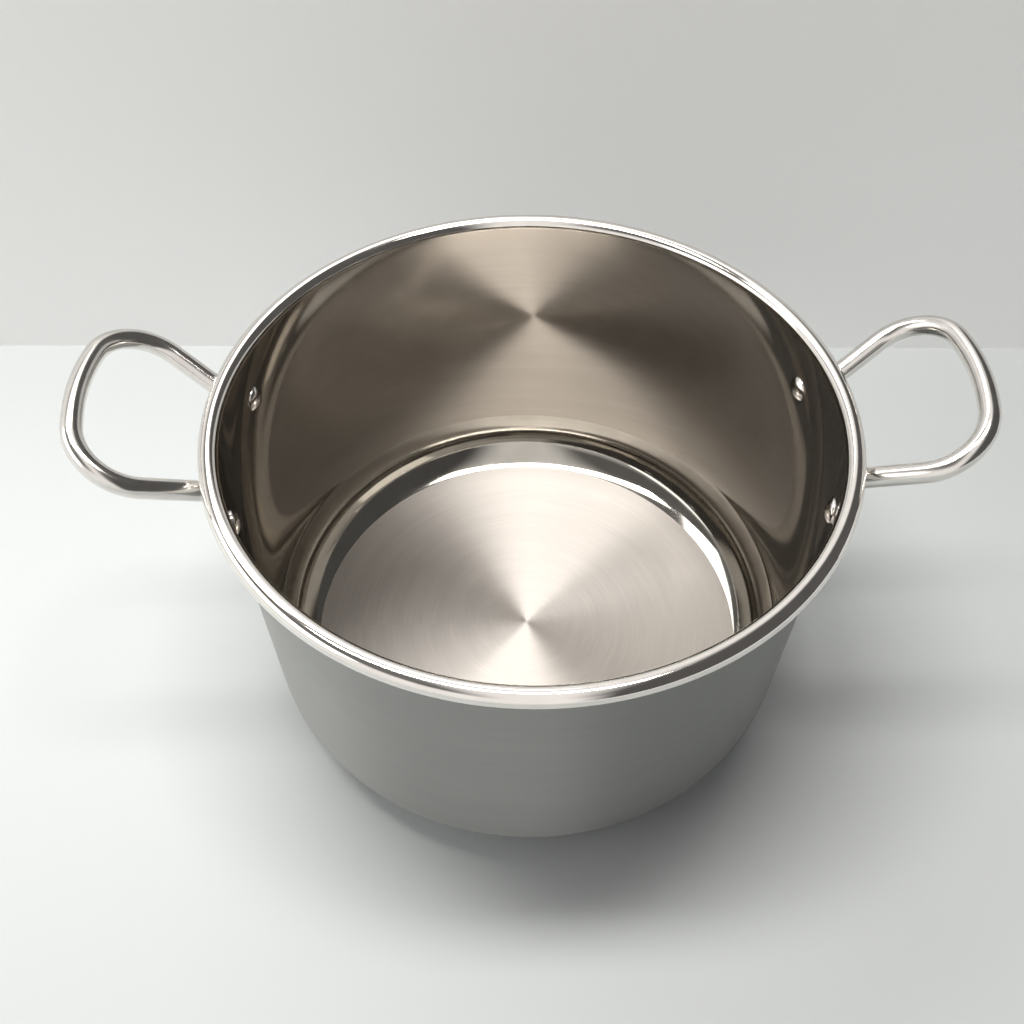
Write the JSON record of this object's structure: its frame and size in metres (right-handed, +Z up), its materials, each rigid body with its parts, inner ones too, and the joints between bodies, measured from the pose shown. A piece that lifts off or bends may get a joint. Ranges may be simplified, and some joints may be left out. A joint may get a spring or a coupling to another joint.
{
  "type": "two-handled cooking pot",
  "caption": "Open stainless-steel pot with a rolled rim, sandwich base and riveted loop handles, for boiling, preserving and water-bath canning.",
  "frame": {"origin": "centre of the underside of the base, on the surface the pot stands on", "axes": "+Z up along the axis of the pot, +X through the right handle, -Y towards the viewer of the picture"},
  "size_m": [0.4122, 0.3044, 0.2068],
  "materials": {
    "shell_steel": "polished inside wall, spin-brushed base, satin outside",
    "core_aluminium": "plain rolled",
    "cap_steel": "spin-brushed",
    "handle_steel": "polished",
    "rivet_steel": "polished"
  },
  "bodies": {
    "root": {"pot_shell": "shell_steel", "heat_core": "core_aluminium", "base_cap": "cap_steel", "handle_left": "handle_steel", "handle_right": "handle_steel", "rivet_left_front": "rivet_steel", "rivet_left_rear": "rivet_steel", "rivet_right_front": "rivet_steel", "rivet_right_rear": "rivet_steel"}
  },
  "joints": []
}
